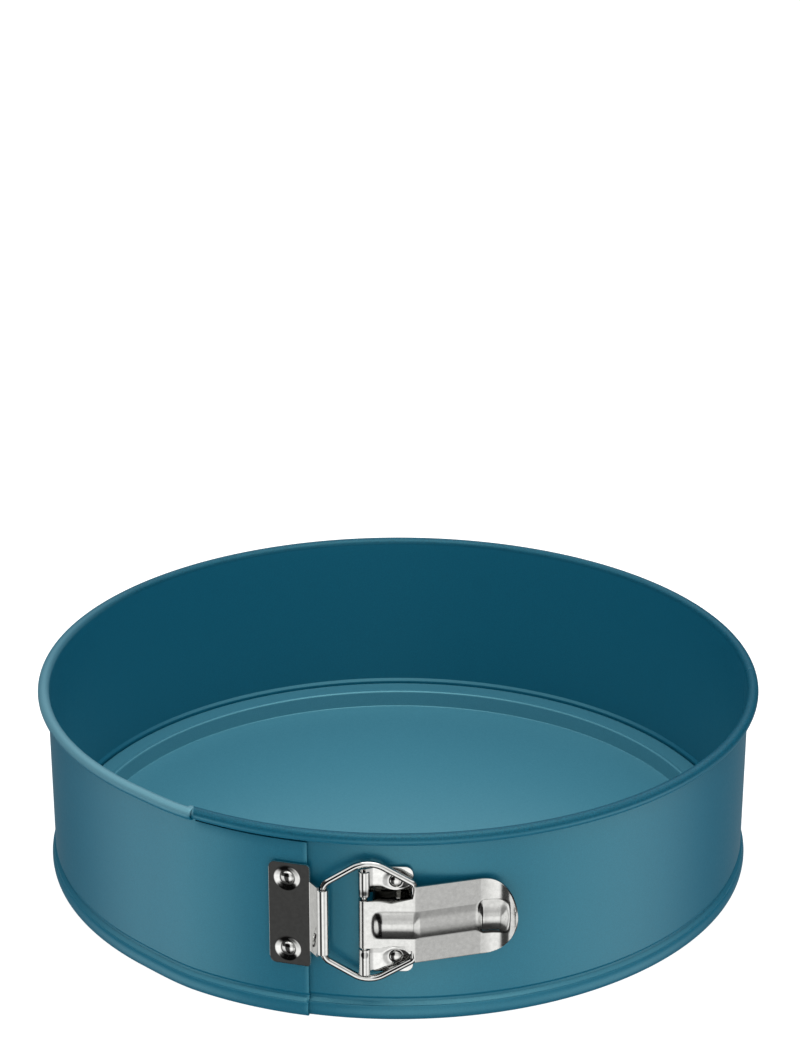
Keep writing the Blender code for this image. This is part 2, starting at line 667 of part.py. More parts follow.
def main():
    clear_scene()
    parts = new_collection("springform_pan")
    tools = new_collection("cutters")
    teal = material("teal_coating", TEAL)
    teal_base = material("teal_base", TEAL_BASE)
    nickel = material("nickel_steel", NICKEL)
    satin = material("satin_steel", NICKEL_SATIN)

    ring_pivot = bpy.data.objects.new("ring_flex_axis", None)
    parts.objects.link(ring_pivot)
    ring_pivot.location = (0.0, OUTER_RADIUS + FLEX_OUT, 0.0)

    make_band_right(parts, tools, teal)
    make_band_left(parts, tools, ring_pivot, teal)
    make_base(parts, teal_base)

    catch = frame_on_band("catch_frame", CATCH_ANGLE, OUTER_RADIUS + LAP_OFFSET, parts)
    keep_world(catch, ring_pivot)
    hinge = frame_on_band("hinge_frame", HINGE_ANGLE, OUTER_RADIUS, parts)

    make_catch(parts, tools, catch, nickel)
    make_hinge_plate(parts, tools, hinge, nickel)
    make_hinge_pin(parts, hinge, nickel)

    lever_pivot = bpy.data.objects.new("lever_axis", None)
    parts.objects.link(lever_pivot)
    lever_pivot.parent = hinge
    lever_pivot.location = (PIN_X, -PIN_LEVEL, 0.0)
    make_lever(parts, tools, lever_pivot, satin)

    for end, side in (("upper", 1.0), ("lower", -1.0)):
        make_rivet("catch_rivet_" + end, CATCH_RIVET_X, side * CATCH_RIVET_Z, parts, catch, nickel)
        make_rivet("hinge_rivet_" + end, HINGE_RIVET_X, side * HINGE_RIVET_Z, parts, hinge, nickel)

    bail_pivot = bpy.data.objects.new("bail_axis", None)
    parts.objects.link(bail_pivot)
    bpy.context.view_layer.update()
    x, level = bail_axis()
    start = catch.matrix_world @ Vector((x, -level, 0.0))
    far = hinge.matrix_world @ Vector((PIN_X + BAIL_REACH, -(PIN_LEVEL + BAIL_DROP), 0.0))
    apex = hinge.matrix_world @ Vector((BAIL_APEX_X, 0.0, 0.0))
    along = far - start
    bail_pivot.location = start
    bail_pivot.rotation_euler = (0.0, 0.0, math.atan2(along.y, along.x))
    keep_world(bail_pivot, catch)
    side = along.normalized()
    make_bail(parts, bail_pivot, ((apex - start).dot(side), along.length), nickel)


main()
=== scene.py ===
"""The looks of a springform pan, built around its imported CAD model.

Metres, +Z up. The pan's axis is the Z axis and it stands on z = 0. The latch is at the front, -Y.
An angle on the band is measured from -Y towards +X, so that 0 is the middle of the front. The
latch's brackets have frames of their own: +X runs along the wall, and a level is a distance
straight out of it.
"""

import json
import math

import bmesh
import bpy
from mathutils import Matrix, Vector

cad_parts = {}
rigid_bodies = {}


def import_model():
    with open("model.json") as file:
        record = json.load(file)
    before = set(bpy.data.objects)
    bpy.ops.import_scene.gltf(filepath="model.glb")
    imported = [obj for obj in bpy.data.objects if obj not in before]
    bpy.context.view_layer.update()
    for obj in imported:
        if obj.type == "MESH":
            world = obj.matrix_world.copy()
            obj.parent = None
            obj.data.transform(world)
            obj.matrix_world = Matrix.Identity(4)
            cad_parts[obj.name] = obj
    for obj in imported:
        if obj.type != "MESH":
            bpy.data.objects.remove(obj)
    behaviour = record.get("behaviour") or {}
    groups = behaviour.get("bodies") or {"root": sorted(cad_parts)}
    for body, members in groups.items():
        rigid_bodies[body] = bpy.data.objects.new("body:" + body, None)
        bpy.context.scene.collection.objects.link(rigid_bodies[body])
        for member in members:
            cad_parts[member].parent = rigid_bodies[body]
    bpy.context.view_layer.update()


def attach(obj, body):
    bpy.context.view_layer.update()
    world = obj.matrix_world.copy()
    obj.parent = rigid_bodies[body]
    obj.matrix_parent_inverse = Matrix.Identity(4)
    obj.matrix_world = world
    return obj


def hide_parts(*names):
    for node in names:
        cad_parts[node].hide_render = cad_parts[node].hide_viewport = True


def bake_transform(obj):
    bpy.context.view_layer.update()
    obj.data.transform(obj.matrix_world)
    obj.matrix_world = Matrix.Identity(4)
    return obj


# ---------------------------------------------------------------- the pan's dimensions
HEIGHT = 0.0718
SHEET = 0.0006                  # steel of the band and the base
WALL_RADIUS = 0.1303            # middle of the wall's sheet, just under the rim
WALL_TAPER = 0.0004
RIM_CURL = 0.0018
RIM_CURL_START = -115.0         # the curl's free end, in degrees round it
GROOVE_TOP = 0.0086
GROOVE_BOTTOM = 0.0052
GROOVE_DEPTH = 0.0008
GROOVE_FLAT = 0.0012            # height of the groove's flat bottom
GROOVE_BEND = 0.0004
FOOT_FLARE = 0.0014
FOOT_ROLL = 0.0012
FOOT_SHOULDER = (0.00072, 0.0001)   # the slope into the foot ends this far in and down from its top
HEM_START = 0.0008              # the flat hem begins this far inside the roll's centre
HEM_RADIUS = 0.1276

BASE_RADIUS = 0.1285
BASE_LEVEL = 0.0068
BASE_EDGE_BEND = 0.0008
BASE_CREST = (0.0003, 0.0001)   # the ring's inner crest: out from the step, and above the ring
BASE_RING_DIP = (0.0016, 0.0003)    # the dip beside the crest: out from the step, and below the ring
BASE_STEP_TOP = 0.1199
BASE_STEP_FOOT = 0.1192
BASE_SKIRT_END = 0.0011

LAP_OFFSET = 0.0013
LAP_START = math.radians(-31.6)
LAP_END = math.radians(-13.4)
JOGGLE = math.radians(12.0)
RIM_NEST = math.radians(0.8)        # the right end's rim starts this far inside the left's
TAB_TOP = HEIGHT - 0.0052
BAND_JOIN = math.radians(90.0)      # the two visible pieces of the band meet here
FACET = math.radians(0.75)
BAND_PIECE = 0.004              # the longest straight piece of the band's line
BASE_PIECE = 0.012
SHEET_EDGE = 0.0001             # bevel on the edges of the band and the base
PLATE_EDGE = 0.00012            # and of the latch's stamped plates

PLATE_SHEET = 0.0007
PLATE_RISE = 0.0007
WIRE_RADIUS = 0.0012
PIN_RADIUS = 0.0010
PLAY = 0.0003
LATCH_HEIGHT = 0.0394
DISH_RADIUS = 0.0050
DISH_DEPTH = 0.0006
DISH_SLOPE = (0.45, 1.03)       # the dish slopes up between these shares of its radius
PLATE_GRID = 0.00035            # spacing of the mesh lines along a bracket

CATCH_ANGLE = math.radians(-16.0)
CATCH_HALF_WIDTH = 0.0072
CATCH_HALF_HEIGHT = 0.0193
CATCH_CORNERS = (0.0024, 0.0014)    # radii of its corners, left and right
CATCH_BEND = 0.0012             # the plate bends up to the neck this far inside its edge
CATCH_BARREL_HALF = 0.0122
CATCH_RIVET_X = -0.0007
CATCH_RIVET_Z = 0.0135
CATCH_NECK_RISE = 131.0         # where the neck meets the barrel, in degrees round it
CATCH_NECK_END = -128.0
CATCH_NECK_EXTRA = 0.0010
BAIL_ANGLE = math.radians(-10.8)
BAIL_LEVEL = 0.0049

HINGE_ANGLE = math.radians(-1.0)
HINGE_HALF_WIDTH = 0.0073
HINGE_HALF_HEIGHT = 0.0199
HINGE_CORNERS = (0.0012, 0.0028)    # radii of its corners, left and right
HINGE_PLATE_START = 0.0026      # the plate begins this far from the pin
HINGE_RIVET_Z = 0.0144
HINGE_RIVET_X = 0.0015
HINGE_NOTCH_HALF = 0.0100
KNUCKLE_END = 0.0195
PIN_DEPTH = 0.0030              # the pin stops this far inside the knuckles' open ends
HINGE_DROP = 0.0006             # the plate is pressed back by this much beside the notch
HINGE_DROP_REACH = 0.0036       # over this height
PIN_X = -0.0090
PIN_LEVEL = 0.0036
PIN_CHAMFER = 0.0003

LEVER_NECK_HALF = 0.0097
LEVER_WAIST_HALF = 0.0081
LEVER_EAR = 0.0136
LEVER_WIDE_HALF = 0.0143
LEVER_CREASE = 0.0168
LEVER_BEND = 0.0388
LEVER_TIP = 0.0513
LEVER_TIP_POWER = 2.4           # the tab's outline: 2 is an ellipse, and more is squarer
LEVER_TIP_SHARE = 0.004         # keeps the last row of its mesh from closing to a point
LEVER_WAIST_START = 0.004
LEVER_EAR_CORNER = (0.0004, 0.0008)     # the ears' corners: back from the crease, and their radius
LEVER_TOP = 0.0014
LEVER_NECK_STEP = 0.0009        # spacing of the points along the neck's rise from the pin
LEVER_NECK_RISE = 0.009         # the neck has left the pin's curl by here
LEVER_CREASE_REACH = 0.0025
LEVER_CREASE_BEND = 0.004
LEVER_SLOPE = math.radians(16.5)
LEVER_KINK = 11.0               # the finger tab begins at this slope, in degrees, after a crease
LEVER_TAB_TURN = 62.0           # the tab turns outward by this many degrees, most near its tip
LEVER_TAB_POWER = 2.1
LEVER_RIB_START = (0.0026, 0.0058)
LEVER_RIB_END = (0.0062, 0.0020)    # where the rib falls away, measured back from the tip
LEVER_RIB_HALF = 0.0050
LEVER_RIB_HEIGHT = 0.0017
LEVER_RIB_SPREAD = 0.0012       # more half width on the tab
LEVER_RIB_DROP = 0.55           # share of its height that the rib loses on the slope
LEVER_RIB_RISE = 0.60           # and gains on the tab

BAIL_REACH = 0.0168
BAIL_DROP = -0.0007
BAIL_SIDE_HALF = 0.0143
BAIL_CORNER_HALF = 0.0139
BAIL_APEX_HALF = 0.0235
BAIL_APEX_X = -0.0077
BAIL_APEX_BEND = 0.0098
BAIL_CORNER_BEND = 0.0046
BAIL_SIDE_BEND = 0.0024
HOOK_Z = 0.0066
HOOK_SLOT = (0.0120, 0.0193)
HOOK_WALL = 0.0014
HOOK_SHEET = 0.0010
HOOK_END = -0.0018
HOOK_CORNER = 0.0006
HOOK_SLOT_CORNER = 0.0004

RIVET_SHANK = 0.0012
RIVET_HEAD = 0.0024
RIVET_DOME = 0.0011
RIVET_TAIL_GAP = 0.00028
RIVET_TAIL = 0.00022

WALL_TOP = HEIGHT - RIM_CURL - SHEET / 2

# ---------------------------------------------------------------- the camera
CAMERA_LENS = 128.6
CAMERA_DISTANCE = 1.0718
CAMERA_PITCH = math.radians(24.45)  # of the line from the rim's centre to the camera
CAMERA_TILT = math.radians(2.922)   # the camera looks this much above the rim's centre
CAMERA_YAW = math.radians(0.040)

# ---------------------------------------------------------------- looks
TEAL_BAND = ((0.002, 0.082, 0.142), (0.004, 0.103, 0.170))  # the flake's darkest and lightest colour
# the base's coating is a lighter copy of the band's: painted light on the floor, which faces up
TEAL_BASE_PAINTED_LIGHT = ((0.038, 0.160, 0.222), (0.050, 0.190, 0.260))
RIM_PAINTED_HIGHLIGHT = (0.075, 0.190, 0.245)    # a painted highlight: colour of the smooth part of the rim
RIM_PAINTED_SHADE = (0.50, 0.82)       # the rim's dull part against the band's two colours: the darkening is painted shade
RIM_GLOSS = 0.35
COATING_TINT = (0.45, 0.97, 1.0)
PLATED_STEEL = (0.56, 0.56, 0.545)
SATIN_STEEL = (0.50, 0.50, 0.485)
BUMP_DEPTH = 0.00001

DIFFUSE_LIGHT = 0.95
GLOSS_LIGHT = 1.9               # the soft boxes are this bright where something shiny shows them
FLOOR_REACH = 6.0
LAMP_PLACE = (0.1, -0.2, 1.5)
LAMP_SIZE = 1.4
LAMP_WATTS = 14.0


def wall_radius(z):
    """Radius of the middle of the wall's sheet at a height between the groove and the rim."""
    return WALL_RADIUS - WALL_TAPER * (WALL_TOP - z) / (WALL_TOP - GROOVE_TOP)


OUTER_RADIUS = wall_radius(LATCH_HEIGHT) + SHEET / 2


# ---------------------------------------------------------------- lines and curves
def smoothstep(value, start, end):
    """0 before start, 1 after end, and a smooth rise between them."""
    t = min(max((value - start) / (end - start), 0.0), 1.0)
    return t * t * (3.0 - 2.0 * t)


def arc(centre, radius, first, last, steps):
    """Points round centre from one angle to another, in degrees, both ends included."""
    turns = [math.radians(first + (last - first) * n / steps) for n in range(steps + 1)]
    return [(centre[0] + radius * math.cos(a), centre[1] + radius * math.sin(a)) for a in turns]


def rounded_line(corners, steps=6, closed=False):
    """A line through (x, y, radius) corners, each one rounded to its own radius."""
    points = []
    count = len(corners)
    for n, (x, y, radius) in enumerate(corners):
        if radius == 0.0 or (not closed and n in (0, count - 1)):
            points.append((x, y))
            continue
        here = Vector((x, y))
        before = (Vector(corners[n - 1][:2]) - here).normalized()
        after = (Vector(corners[(n + 1) % count][:2]) - here).normalized()
        half = before.angle(after) / 2
        reach = radius / math.tan(half)
        start, end = here + before * reach, here + after * reach
        centre = here + (before + after).normalized() * (radius / math.sin(half))
        for step in range(steps + 1):
            spoke = (start - centre).lerp(end - centre, step / steps)
            points.append(tuple(centre + spoke.normalized() * radius))
    return points


def divided(points, longest):
    """The same line with points added, so that no piece of it is longer than this."""
    line = [points[0]]
    for a, b in zip(points, points[1:]):
        count = max(1, math.ceil(math.dist(a, b) / longest))
        line += [tuple(a[k] + (b[k] - a[k]) * n / count for k in (0, 1)) for n in range(1, count + 1)]
    return line


# ---------------------------------------------------------------- meshes
def finished(name, bm, matrix=None, thickness=0.0, bevel=0.0, sharp=32.0):
    """A linked object from a bmesh: thickened, with bevelled edges, and smooth elsewhere."""
    bmesh.ops.recalc_face_normals(bm, faces=bm.faces)
    mesh = bpy.data.meshes.new(name)
    bm.to_mesh(mesh)
    bm.free()
    obj = bpy.data.objects.new(name, mesh)
    bpy.context.scene.collection.objects.link(obj)
    if thickness:
        sheet = obj.modifiers.new("Sheet", "SOLIDIFY")
        sheet.thickness = thickness
        sheet.offset = 0.0
        sheet.use_even_offset = True
    if bevel:
        edges = obj.modifiers.new("Edges", "BEVEL")
        edges.width = bevel
        edges.segments = 2
        edges.limit_method = "ANGLE"
        edges.angle_limit = math.radians(50.0)
    if thickness or bevel:
        bpy.context.view_layer.update()
        shaped = obj.evaluated_get(bpy.context.evaluated_depsgraph_get())
        obj.data = bpy.data.meshes.new_from_object(shaped)
        obj.modifiers.clear()
        bpy.data.meshes.remove(mesh)
    if matrix is not None:
        obj.data.transform(matrix)
    obj.data.shade_smooth()
    obj.data.set_sharp_from_angle(angle=math.radians(sharp))
    return obj


def turned_mesh(points, start, end, steps, keep=None, shift=None):
    """Turn an (r, z) line about Z, from one angle on the band to another.

    keep says by angle, r and z which faces stay, and shift moves a point outward by its angle.
    """
    bm = bmesh.new()
    whole = abs(end - start - 2.0 * math.pi) < 1e-6
    columns = []
    for n in range(steps if whole else steps + 1):
        angle = start + (end - start) * n / steps
        out = shift(angle) if shift else 0.0
        columns.append([
            bm.verts.new(((r + out) * math.sin(angle), -(r + out) * math.cos(angle), z)) for r, z in points
        ])
    pairs = list(zip(columns, columns[1:])) + ([(columns[-1], columns[0])] if whole else [])
    for number, (left, right) in enumerate(pairs):
        angle = start + (end - start) * (number + 0.5) / steps
        for n in range(len(points) - 1):
            r = (points[n][0] + points[n + 1][0]) / 2
            z = (points[n][1] + points[n + 1][1]) / 2
            if keep is None or keep(angle, r, z):
                bm.faces.new((left[n], right[n], right[n + 1], left[n + 1]))
    bmesh.ops.delete(bm, geom=[v for v in bm.verts if not v.link_faces], context="VERTS")
    return bm


def lathe(name, points, matrix, steps=48, bevel=0.0):
    """A closed solid turned about its own Z from (radius, height) points that start and end at 0."""
    bm = turned_mesh(points, 0.0, 2.0 * math.pi, steps)
    bmesh.ops.remove_doubles(bm, verts=bm.verts, dist=1e-6)
    return finished(name, bm, matrix, bevel=bevel)


def pressed_sheet(name, path, lines, half, matrix, lift=None, keep=None):
    """A stamped strip: a path of (x, level) points, cut to half(x) either side of its middle.

    lines are the heights of the mesh's own lines, from -1 to 1 of the widest place. lift(x, z) adds
    a level, and keep(x, z) says where there is metal.
    """
    widest = max(half(x) for x, _ in path)
    bm = bmesh.new()
    rows = []
    for x, level in path:
        limit = half(x)
        heights = [min(max(line * widest, -limit), limit) for line in lines]
        rows.append([bm.verts.new((x, -(level + (lift(x, z) if lift else 0.0)), z)) for z in heights])
    for number, (row, after) in enumerate(zip(rows, rows[1:])):
        x = (path[number][0] + path[number + 1][0]) / 2
        for n in range(len(lines) - 1):
            z = (lines[n] + lines[n + 1]) / 2 * widest
            if keep is None or keep(x, z):
                bm.faces.new((row[n], row[n + 1], after[n + 1], after[n]))
    bmesh.ops.dissolve_degenerate(bm, dist=1e-6, edges=bm.edges)
    bmesh.ops.remove_doubles(bm, verts=bm.verts, dist=1e-6)
    bmesh.ops.delete(bm, geom=[v for v in bm.verts if not v.link_faces], context="VERTS")
    return finished(name, bm, matrix, thickness=PLATE_SHEET, bevel=PLATE_EDGE)


def frame_on_band(angle, radius):
    """A bracket's frame: +X runs along the wall, -Y points out of it, and the origin is on it."""
    place = Vector((radius * math.sin(angle), -radius * math.cos(angle), LATCH_HEIGHT))
    return Matrix.Translation(place) @ Matrix.Rotation(angle, 4, "Z")


# ---------------------------------------------------------------- band and base
def band_line():
    """The middle of the band's sheet, (r, z), from the end of the rim's curl to the hem."""
    low = wall_radius(GROOVE_TOP)
    middle = (GROOVE_TOP + GROOVE_BOTTOM) / 2
    curl = arc((WALL_RADIUS + RIM_CURL, WALL_TOP), RIM_CURL, RIM_CURL_START, 180.0, 26)
    groove = rounded_line([
        (wall_radius(TAB_TOP), TAB_TOP, 0.0),
        (low, GROOVE_TOP, GROOVE_BEND),
        (low - GROOVE_DEPTH, middle + GROOVE_FLAT / 2, GROOVE_BEND),
        (low - GROOVE_DEPTH, middle - GROOVE_FLAT / 2, GROOVE_BEND),
        (low + FOOT_FLARE - FOOT_SHOULDER[0], GROOVE_BOTTOM - FOOT_SHOULDER[1], 0.0),
    ])
    centre = low + FOOT_FLARE - FOOT_ROLL
    level = (GROOVE_BOTTOM + SHEET / 2) / 2
    roll = arc((0.0, 0.0), 1.0, 60.0, -90.0, 20)[1:]
    foot = [(centre + FOOT_ROLL * x, SHEET / 4 + level * (1.0 + z)) for x, z in roll]
    hem = [(centre - HEM_START, SHEET / 2), (HEM_RADIUS, SHEET / 2)]
    return curl + divided(groove, BAND_PIECE) + foot + hem


def lap_shift(angle):
    """How far the left end stands out at this angle: 0 before the joggle, full in the overlap."""
    return LAP_OFFSET * smoothstep(angle, LAP_START - JOGGLE, LAP_START)


def in_left_end(angle, r, z):
    """Past the rim's joint the left end is a plain tab, with neither rim nor hem."""
    if angle < LAP_START + FACET / 2:
        return True
    in_hem = z < GROOVE_BOTTOM / 2 and r < wall_radius(GROOVE_TOP) - 0.0002
    return z < TAB_TOP and not in_hem


def make_band(look):
    """The band in two pieces, which meet at the right, and whose ends overlap at the front."""
    line = band_line()
    left_start, left_end = BAND_JOIN - 2.0 * math.pi, LAP_END
    steps = round((left_end - left_start) / FACET)
    left = finished(
        "band_left_sheet",
        turned_mesh(line, left_start, left_end, steps, keep=in_left_end, shift=lap_shift),
        thickness=SHEET,
        bevel=SHEET_EDGE,
    )
    steps = round((BAND_JOIN - LAP_START) / FACET)
    right = finished(
        "band_right_sheet",
        turned_mesh(line, LAP_START - RIM_NEST, BAND_JOIN, steps),
        thickness=SHEET,
        bevel=SHEET_EDGE,
    )
    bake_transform(left)
    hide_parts("side_band_left")
    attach(right, "band_right")
    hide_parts("side_band_right")
    for piece in (left, right):
        piece.data.materials.append(look)


def make_base(look):
    """A sunken floor, a step up to a flat ring, and a skirt that stands inside the foot."""
    skirt = BASE_RADIUS - SHEET / 2
    line = rounded_line([
        (skirt, BASE_SKIRT_END, 0.0),
        (skirt, BASE_LEVEL, BASE_EDGE_BEND),
        (BASE_STEP_TOP + BASE_RING_DIP[0], BASE_LEVEL - BASE_RING_DIP[1], 0.0010),
        (BASE_STEP_TOP + BASE_CREST[0], BASE_LEVEL + BASE_CREST[1], 0.0006),
        (BASE_STEP_FOOT, SHEET / 2, 0.0007),
        (0.004, SHEET / 2, 0.0),
        (0.0, SHEET / 2, 0.0),
    ])
    bm = turned_mesh(divided(line, BASE_PIECE), 0.0, 2.0 * math.pi, round(2.0 * math.pi / FACET))
    bmesh.ops.remove_doubles(bm, verts=bm.verts, dist=1e-6)
    base = finished("base_sheet", bm, thickness=SHEET, bevel=SHEET_EDGE)
    base.data.materials.append(look)
    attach(base, "base")
    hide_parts("base_plate")


# ---------------------------------------------------------------- the latch
def dish(x, z, middle_x, middle_z):
    """How far a round dish for a rivet is pressed in at a point of a bracket."""
    r = math.hypot(x - middle_x, abs(z) - middle_z) / DISH_RADIUS
    return -DISH_DEPTH * (1.0 - smoothstep(r, *DISH_SLOPE))


def plate_lines(widest, fine):
    """Evenly spaced lines across a strip, from -1 to 1 of its widest place."""
    count = round(2.0 * widest / fine)
    return [2.0 * n / count - 1.0 for n in range(count + 1)]


def corner_cut(x, end, radius):
    """How much a rounded corner takes off a plate's half height near its end."""
    near = radius - abs(end - x)
    if near <= 0.0:
        return 0.0
    return radius - math.sqrt(max(radius * radius - near * near, 0.0))


def make_catch(frame, look):
    """The bracket on the left end: a plate with two dishes, and a neck curled round the bail."""
    turn = BAIL_ANGLE - CATCH_ANGLE
    radius = OUTER_RADIUS + BAIL_LEVEL
    bail = (radius * math.sin(turn), radius * math.cos(turn) - OUTER_RADIUS - LAP_OFFSET)
    middle = PLATE_RISE + PLATE_SHEET / 2
    curl = WIRE_RADIUS + PLAY + PLATE_SHEET / 2
    bend = CATCH_HALF_WIDTH - CATCH_BEND
    path = divided([(-CATCH_HALF_WIDTH, middle), (-CATCH_HALF_WIDTH + 0.0025, middle)], 0.00025)
    path += divided([path[-1], (bend, middle)], 0.0004)[1:]
    barrel = arc(bail, curl, CATCH_NECK_RISE, CATCH_NECK_END, 44)
    path += divided(rounded_line([
        (bend, middle, 0.0), (CATCH_HALF_WIDTH + 0.0002, middle, 0.0010), (*barrel[0], 0.0),
    ]), 0.00025)[1:]
    path += barrel[1:]

    def half(x):
        if x > CATCH_HALF_WIDTH:
            return CATCH_BARREL_HALF + CATCH_NECK_EXTRA * (x < bail[0] - WIRE_RADIUS)
        left = corner_cut(x, -CATCH_HALF_WIDTH, CATCH_CORNERS[0])
        right = corner_cut(x, CATCH_HALF_WIDTH, CATCH_CORNERS[1])
        return CATCH_HALF_HEIGHT - left - right

    def lift(x, z):
        return dish(x, z, CATCH_RIVET_X, CATCH_RIVET_Z)

    lines = plate_lines(CATCH_HALF_HEIGHT, PLATE_GRID)
    plate = pressed_sheet("catch_bracket", path, lines, half, frame, lift)
    plate.data.materials.append(look)
    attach(plate, "band_left")
    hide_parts("catch_plate")


def make_hinge(frame, look):
    """The bracket on the right end: a plate with two dishes and two knuckles round the pin."""
    middle = PLATE_RISE + PLATE_SHEET / 2
    left = PIN_X + HINGE_PLATE_START
    curl = PIN_RADIUS + PLAY + PLATE_SHEET / 2
    path = arc((PIN_X, PIN_LEVEL), curl, 20.0, 285.0, 40)
    path += divided([(left + 0.0002, middle), (left + 0.0018, middle)], 0.0003)
    path += divided([path[-1], (HINGE_HALF_WIDTH - HINGE_CORNERS[1], middle)], 0.0004)[1:]
    path += divided([path[-1], (HINGE_HALF_WIDTH, middle)], 0.0002)[1:]

    def half(x):
        if x < left:
            return KNUCKLE_END
        cut = corner_cut(x, left, HINGE_CORNERS[0]) + corner_cut(x, HINGE_HALF_WIDTH, HINGE_CORNERS[1])
        return HINGE_HALF_HEIGHT - cut

    def lift(x, z):
        end = HINGE_NOTCH_HALF + HINGE_DROP_REACH
        drop = HINGE_DROP * (1.0 - smoothstep(abs(z), HINGE_NOTCH_HALF, end))
        return min(dish(x, z, HINGE_RIVET_X, HINGE_RIVET_Z), -drop)

    def keep(x, z):
        return x > left + 0.0002 or abs(z) > HINGE_NOTCH_HALF

    lines = plate_lines(HINGE_HALF_HEIGHT, PLATE_GRID)
    plate = pressed_sheet("hinge_bracket", path, lines, half, frame, lift, keep)
    plate.data.materials.append(look)
    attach(plate, "band_right")
    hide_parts("hinge_plate")

    end = KNUCKLE_END - PIN_DEPTH
    points = [(0.0, end), (PIN_RADIUS - PIN_CHAMFER, end), (PIN_RADIUS, end - PIN_CHAMFER)]
    points += [(r, -z) for r, z in reversed(points)]
    pin = lathe("hinge_pin_rod", points, frame @ Matrix.Translation((PIN_X, -PIN_LEVEL, 0.0)))
    pin.data.materials.append(look)
    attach(pin, "band_right")
    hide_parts("hinge_pin")


def lever_path():
    """The lever's middle line from the end of its curl round the pin, (x, level) from the pin."""
    curl = PIN_RADIUS + PLAY + PLATE_SHEET / 2
    run = LEVER_BEND - LEVER_CREASE
    low = LEVER_TOP - run * math.tan(LEVER_SLOPE)
    path = arc((0.0, 0.0), curl, -60.0, -268.0, 34)
    for n in range(10):
        x = LEVER_NECK_STEP * (n + 1)
        path.append((x, curl + (LEVER_TOP - curl) * smoothstep(x, 0.0, LEVER_NECK_RISE)))
    slope_in = LEVER_CREASE + LEVER_CREASE_REACH, LEVER_TOP - LEVER_CREASE_REACH * math.tan(LEVER_SLOPE)
    path += divided(rounded_line([
        (*path[-1], 0.0), (LEVER_CREASE, LEVER_TOP, LEVER_CREASE_BEND), (*slope_in, 0.0)
    ], steps=5)[1:], 0.0003)
    path += divided([slope_in, (LEVER_BEND, low)], 0.0008)[1:]
    steps = 48
    run = (LEVER_TIP - LEVER_BEND) / steps
    here = (LEVER_BEND, low)
    for n in range(steps):
        slope = ((n + 0.5) / steps) ** LEVER_TAB_POWER * LEVER_TAB_TURN - LEVER_KINK
        here = (here[0] + run, here[1] + run * math.tan(math.radians(slope)))
        path.append(here)
    return path


def lever_half(x):
    """Half the lever's width: a neck with a waist, square ears, and a round finger tab."""
    if x > LEVER_BEND:
        along = (x - LEVER_BEND) / (LEVER_TIP - LEVER_BEND)
        return LEVER_WIDE_HALF * math.sqrt(max(1.0 - along**LEVER_TIP_POWER, LEVER_TIP_SHARE))
    narrowed = smoothstep(x, LEVER_WAIST_START, LEVER_EAR)
    waist = LEVER_NECK_HALF + (LEVER_WAIST_HALF - LEVER_NECK_HALF) * narrowed
    ear = min(max((x - LEVER_EAR) / (LEVER_CREASE - LEVER_EAR), 0.0), 1.0)
    half = waist + (LEVER_WIDE_HALF - waist) * (1.0 - math.sqrt(1.0 - ear**2))
    corner = LEVER_CREASE - LEVER_EAR_CORNER[0]
    return half - corner_cut(max(x, corner), corner, LEVER_EAR_CORNER[1])


def lever_rib(x, z):
    """A rounded rib along the middle of the lever: low on its slope, and widest on the finger tab."""
    ended = smoothstep(x, LEVER_TIP - LEVER_RIB_END[0], LEVER_TIP - LEVER_RIB_END[1])
    along = smoothstep(x, *LEVER_RIB_START) * (1.0 - ended)
    on_tab = smoothstep(x, LEVER_BEND - 0.0012, LEVER_BEND + 0.0012)
    on_slope = smoothstep(x, LEVER_CREASE - 0.0010, LEVER_CREASE + 0.0020) * (1.0 - on_tab)
    half = LEVER_RIB_HALF + on_tab * LEVER_RIB_SPREAD
    height = LEVER_RIB_HEIGHT * (1.0 - LEVER_RIB_DROP * on_slope + LEVER_RIB_RISE * on_tab)
    return height * along * max(1.0 - (z / half) ** 2, 0.0)


def hook_outline():
    """An upside-down U, (x, level) from the pin, open towards the wall, that holds the bail."""
    left, right = HOOK_SLOT
    outer, inner = left - HOOK_WALL, right + HOOK_WALL
    web = PLATE_SHEET / 5

    def sheet_level(x):
        return LEVER_TOP - max(x - LEVER_CREASE, 0.0) * math.tan(LEVER_SLOPE)

    return rounded_line([
        (outer, LEVER_TOP + web, 0.0),
        (outer, HOOK_END, HOOK_CORNER),
        (left, HOOK_END, HOOK_CORNER),
        (left, LEVER_TOP - web, HOOK_SLOT_CORNER),
        (right, sheet_level(right) - web, HOOK_SLOT_CORNER),
        (right, HOOK_END, HOOK_CORNER),
        (inner, HOOK_END, HOOK_CORNER),
        (inner, sheet_level(inner) + web, 0.0),
        (LEVER_CREASE, LEVER_TOP + web, 0.0),
    ], closed=True)


def make_lever(frame, look):
    """The lever's ribbed plate, and the two hooks under it that hold the bail."""
    pivot = frame @ Matrix.Translation((PIN_X, -PIN_LEVEL, 0.0))
    lines = plate_lines(LEVER_WIDE_HALF, 0.0004)
    lever = pressed_sheet("lever_plate", lever_path(), lines, lever_half, pivot, lever_rib)
    bm = bmesh.new()
    for side in (1.0, -1.0):
        face = bm.faces.new([bm.verts.new((x, -y, side * HOOK_Z)) for x, y in hook_outline()])
        bmesh.ops.triangulate(bm, faces=[face])
    hooks = finished("lever_hooks", bm, pivot, thickness=HOOK_SHEET, bevel=PLATE_EDGE)
    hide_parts("lever")
    for piece in (lever, hooks):
        piece.data.materials.append(look)
        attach(piece, "lever")


